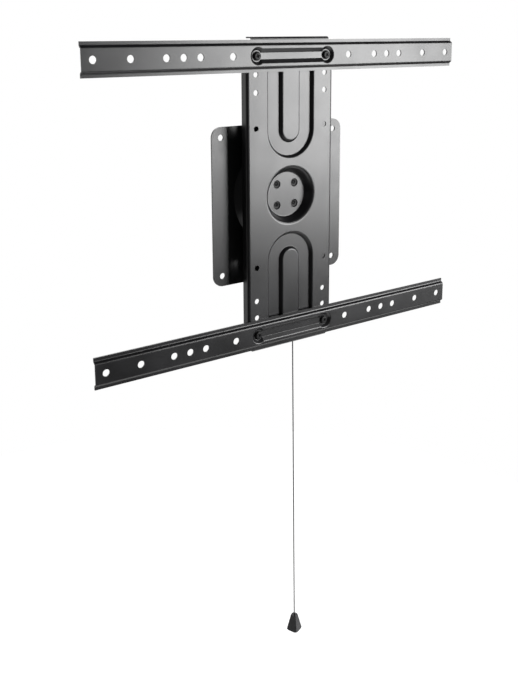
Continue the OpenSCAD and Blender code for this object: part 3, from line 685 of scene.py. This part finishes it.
class WALLMOUNT_OT_rail_screws(bpy.types.Operator):
    """Make the four pan headed cross screws that hold the rails, with their threads"""

    bl_idname = "wall_mount.rail_screws"
    bl_label = "Rail screws"

    def execute(self, context):
        settings = context.scene.wall_mount
        nodes = [f"rail_screw_{i}" for i in (1, 2, 3, 4)]
        low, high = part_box(nodes[0])
        places = [Vector((middle(n).x, low.y + PAN_HEIGHT, middle(n).z)) for n in nodes]
        cross = tapered("cross_recess", self.cross_outline(), -PAN_HEIGHT - CROSS_CLEAR, CROSS_FLOOR,
                        CROSS_TAPER)
        head = carved("pan_head", turned("pan_head", self.pan_profile()), [cross])
        screws = grow("rail_screws", polylines("rail_screw_places", [[p] for p in places]), screw_tree(), {
            "Head": head, "Thread radius": SHANK_RADIUS, "Thread depth": settings.thread_depth,
            "Pitch": settings.thread_pitch, "Shank start": -SHANK_OVERLAP,
            "Shank length": high.y - low.y - PAN_HEIGHT, "Material": finish("screws")})
        bpy.data.objects.remove(head)
        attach(screws, "rotor")
        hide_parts(*nodes)
        return {"FINISHED"}

    @staticmethod
    def pan_profile():
        """Half section of a pan head, from its crown to its seat."""
        flat, shoulder = PAN_RADIUS - PAN_RIM, PAN_CROWN * 0.5 - PAN_HEIGHT
        points = [(0.0, -PAN_HEIGHT)]
        points += [(f * flat, -PAN_HEIGHT + PAN_CROWN * f * f * 0.5) for f in (0.35, 0.7, 1.0)]
        for i in range(1, 9):
            a = math.radians(90 * i / 8)
            points.append((flat + PAN_RIM * math.sin(a), shoulder + PAN_RIM * (1 - math.cos(a))))
        return points + [(PAN_RADIUS, -PAN_EDGE), (PAN_RADIUS - PAN_EDGE, 0.0), (0.0, 0.0)]

    @staticmethod
    def cross_outline():
        """Outline of a cross recess at its mouth."""
        bend = CROSS_HALF + CROSS_BEND
        quarter = [(CROSS_ARM, -CROSS_HALF), (CROSS_ARM, CROSS_HALF), (CROSS_CORNER, bend),
                   (bend, CROSS_CORNER)]
        points = []
        for k in range(4):
            c, s = math.cos(k * math.pi / 2), math.sin(k * math.pi / 2)
            points += [(x * c - y * s, x * s + y * c) for x, y in quarter]
        return points


class WALLMOUNT_OT_hub_screws(bpy.types.Operator):
    """Make the four countersunk socket screws in the centre cup, dished and threaded"""

    bl_idname = "wall_mount.hub_screws"
    bl_label = "Hub screws"

    def execute(self, context):
        settings = context.scene.wall_mount
        nodes = [f"hub_screw_{i}" for i in (1, 2, 3, 4)]
        low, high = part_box(nodes[0])
        head_radius = (high.x - low.x) / 2
        cone = head_radius - SHANK_RADIUS
        seat = cone + HEAD_OVERLAP
        places = [Vector((middle(n).x, low.y, middle(n).z)) for n in nodes]
        profile = [(0.0, 0.0), (head_radius - HEAD_EDGE, 0.0), (head_radius, HEAD_EDGE), (SHANK_RADIUS, seat),
                   (0.0, seat)]
        socket = tapered("socket", self.outline(SOCKET_RADIUS, 6), -SOCKET_CLEAR, SOCKET_DEPTH, 1.0)
        dish = tapered("socket_dish", self.outline(DISH_RADIUS, 48), -DISH_CLEAR, DISH_DEPTH, DISH_TAPER)
        head = carved("socket_head", turned("socket_head", profile), [socket, dish])
        screws = grow("hub_screws", polylines("hub_screw_places", [[p] for p in places]), screw_tree(), {
            "Head": head, "Thread radius": SHANK_RADIUS, "Thread depth": settings.thread_depth,
            "Pitch": settings.thread_pitch, "Shank start": cone, "Seed": 8,
            "Shank length": high.y - low.y - cone, "Material": finish("screws")})
        bpy.data.objects.remove(head)
        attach(screws, "rotor")
        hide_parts(*nodes)
        return {"FINISHED"}

    @staticmethod
    def outline(radius, corners):
        """Corners evenly round a circle."""
        angles = [2 * math.pi * k / corners for k in range(corners)]
        return [(radius * math.cos(a), radius * math.sin(a)) for a in angles]


class WALLMOUNT_OT_springs(bpy.types.Operator):
    """Wind the latch bolt's two springs and hook them over their posts"""

    bl_idname = "wall_mount.springs"
    bl_label = "Latch springs"

    def execute(self, context):
        settings = context.scene.wall_mount
        lines = [self.wire_line(x, settings.spring_turns) for x in (-SPRING_X, SPRING_X)]
        springs = grow("latch_springs", polylines("spring_lines", lines), wire_tree(), {
            "Wire radius": settings.spring_wire / 2, "Material": finish("springs")})
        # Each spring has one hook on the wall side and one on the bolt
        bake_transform(springs)
        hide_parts("latch_spring_left", "latch_spring_right")
        return {"FINISHED"}

    @staticmethod
    def wire_line(x, turns):
        """One wire: a hook round the low post, a coil, and a hook round the high post."""
        reach = HOOK_RADIUS + HOOK_NECK
        low, high = SPRING_LOW + reach, SPRING_HIGH - reach
        hook = []
        for i in range(HOOK_STEPS + 1):
            a = math.radians(90 - HOOK_ARC * (1 - i / HOOK_STEPS))
            hook.append((HOOK_RADIUS * math.cos(a), 0.0, HOOK_RADIUS * math.sin(a)))
        neck = []
        for i in range(1, NECK_STEPS):
            f = i / NECK_STEPS
            rise = NECK_RISE * HOOK_NECK * math.sin(math.pi / 2 * f)
            neck.append((0.0, -COIL_RADIUS * f * f, HOOK_RADIUS + rise))
        steps = COIL_STEPS * turns
        coil = []
        for i in range(steps + 1):
            a = 2 * math.pi * i / COIL_STEPS - math.pi / 2
            z = low + (high - low) * i / steps
            coil.append((COIL_RADIUS * math.cos(a), COIL_RADIUS * math.sin(a), z))
        start = [(px, py, SPRING_LOW + pz) for px, py, pz in hook + neck]
        end = [(px, py, SPRING_HIGH - pz) for px, py, pz in reversed(hook + neck)]
        return [Vector((x + px, SPRING_Y + py, pz)) for px, py, pz in start + coil + end]


class WALLMOUNT_OT_finishes(bpy.types.Operator):
    """Give every part of the frame its real finish"""

    bl_idname = "wall_mount.finishes"
    bl_label = "Finishes"

    def execute(self, context):
        for name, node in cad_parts.items():
            kind = name.removesuffix("_left").removesuffix("_right").rstrip("_1234")
            keys = [key for key, kinds in CAD_FINISHES.items() if kind in kinds]
            if len(keys) != 1:
                raise RuntimeError(f"{name} has {len(keys)} finishes")
            for slot in node.material_slots:
                slot.material = finish(keys[0])
        return {"FINISHED"}


class WALLMOUNT_OT_stage(bpy.types.Operator):
    """Lay the pale floor and set up the soft boxes and the surroundings"""

    bl_idname = "wall_mount.stage"
    bl_label = "Studio"

    def execute(self, context):
        settings = context.scene.wall_mount
        context.scene.view_settings.view_transform = "Standard"
        self.floor(settings.floor_drop)
        # The key's reflection gives the coat its grey sweep
        self.soft_box("Key soft box", KEY_PLACE, KEY_TARGET, KEY_SIZE, settings.key_light)
        self.soft_box("Back fill", FILL_PLACE, FILL_TARGET, FILL_SIZE, FILL_POWER)
        self.surroundings(context.scene)
        return {"FINISHED"}

    @staticmethod
    def floor(drop):
        """A round pale floor with a soft shadow."""
        made = bmesh.new()
        bmesh.ops.create_circle(made, cap_ends=True, segments=FLOOR_SIDES, radius=FLOOR_RADIUS,
                                matrix=Matrix.Translation((0.0, FLOOR_MIDDLE, -drop)))
        mesh = bpy.data.meshes.new("floor")
        made.to_mesh(mesh)
        made.free()
        floor = new_object("studio_floor", mesh)
        material = bpy.data.materials.new("Pale studio floor")
        material.use_nodes = True
        tree = material.node_tree
        tree.nodes.clear()
        matt = add(tree, "ShaderNodeBsdfDiffuse", {"Color": linear("#f4f4f4")}).outputs[0]
        glow = add(tree, "ShaderNodeEmission", {"Color": linear("#ffffff"), "Strength": FLOOR_GLOW}).outputs[0]
        path = add(tree, "ShaderNodeLightPath").outputs
        seen = maths(tree, "MAXIMUM", path["Is Camera Ray"], path["Is Glossy Ray"])
        seen = maths(tree, "MAXIMUM", seen, path["Is Transmission Ray"])
        dark = add(tree, "ShaderNodeEmission", {"Strength": 0.0}).outputs[0]
        light = add(tree, "ShaderNodeMixShader", {0: seen, 1: dark, 2: glow}).outputs[0]
        both = add(tree, "ShaderNodeAddShader", {0: matt, 1: light}).outputs[0]
        add(tree, "ShaderNodeOutputMaterial", {"Surface": both})
        mesh.materials.append(material)

    @staticmethod
    def soft_box(name, place, target, size, power):
        """A rectangular lamp that faces a point and isn't seen itself."""
        lamp = bpy.data.lights.new(name, "AREA")
        lamp.shape = "RECTANGLE"
        lamp.size, lamp.size_y = size
        lamp.energy = power
        made = bpy.data.objects.new(name, lamp)
        bpy.context.scene.collection.objects.link(made)
        ahead = Vector(target) - Vector(place)
        made.matrix_world = Matrix.Translation(place) @ ahead.to_track_quat("-Z", "Y").to_matrix().to_4x4()
        made.visible_camera = False

    @staticmethod
    def surroundings(scene):
        """A dim even room, darker still in gloss, with a white background that gloss also shows."""
        world = bpy.data.worlds.new("Studio")
        scene.world = world
        world.use_nodes = True
        tree = world.node_tree
        tree.nodes.clear()
        path = add(tree, "ShaderNodeLightPath").outputs
        sky = add(tree, "ShaderNodeTexCoord").outputs["Generated"]
        way = add(tree, "ShaderNodeSeparateXYZ", {0: sky}).outputs
        behind = ranged(tree, way["Y"], (0.15, 0.6), kind="SMOOTHSTEP")
        height = maths(tree, "ABSOLUTE", way["Z"])
        level = ranged(tree, height, (0.2, 0.6), (1.0, 0.0), "SMOOTHSTEP")
        backdrop = maths(tree, "MULTIPLY", behind, level)
        gloss = maths(tree, "MAXIMUM", path["Is Glossy Ray"], path["Is Transmission Ray"])
        white = maths(tree, "MAXIMUM", path["Is Camera Ray"], maths(tree, "MULTIPLY", gloss, backdrop))
        dim = ranged(tree, gloss, (0.0, 1.0), (ROOM_LEVEL, ROOM_IN_GLOSS))
        room = add(tree, "ShaderNodeBackground", {"Color": linear("#ffffff"), "Strength": dim}).outputs[0]
        screen = add(tree, "ShaderNodeBackground", {"Color": linear("#ffffff"), "Strength": 1.0}).outputs[0]
        mixed = add(tree, "ShaderNodeMixShader", {0: white, 1: room, 2: screen}).outputs[0]
        add(tree, "ShaderNodeOutputWorld", {"Surface": mixed})


class WALLMOUNT_PT_sidebar(bpy.types.Panel):
    """Settings and steps of the wall mount"""

    bl_idname = "WALLMOUNT_PT_sidebar"
    bl_label = "Wall mount"
    bl_space_type = "VIEW_3D"
    bl_region_type = "UI"
    bl_category = "Wall mount"

    def draw(self, context):
        settings = context.scene.wall_mount
        for name in WallMountSettings.__annotations__:
            self.layout.prop(settings, name)
        for step in STEPS:
            self.layout.operator(step.bl_idname)


STEPS = (
    WALLMOUNT_OT_camera,
    WALLMOUNT_OT_cord,
    WALLMOUNT_OT_rail_screws,
    WALLMOUNT_OT_hub_screws,
    WALLMOUNT_OT_springs,
    WALLMOUNT_OT_finishes,
    WALLMOUNT_OT_stage,
)
CLASSES = (WallMountSettings, *STEPS, WALLMOUNT_PT_sidebar)


def register():
    for kind in CLASSES:
        bpy.utils.register_class(kind)
    bpy.types.Scene.wall_mount = bpy.props.PointerProperty(type=WallMountSettings)


def unregister():
    del bpy.types.Scene.wall_mount
    for kind in reversed(CLASSES):
        bpy.utils.unregister_class(kind)


def main():
    register()
    bpy.ops.wall_mount.camera()
    bpy.ops.wall_mount.cord()
    bpy.ops.wall_mount.rail_screws()
    bpy.ops.wall_mount.hub_screws()
    bpy.ops.wall_mount.springs()
    bpy.ops.wall_mount.finishes()
    bpy.ops.wall_mount.stage()


if __name__ == "__main__":
    main()
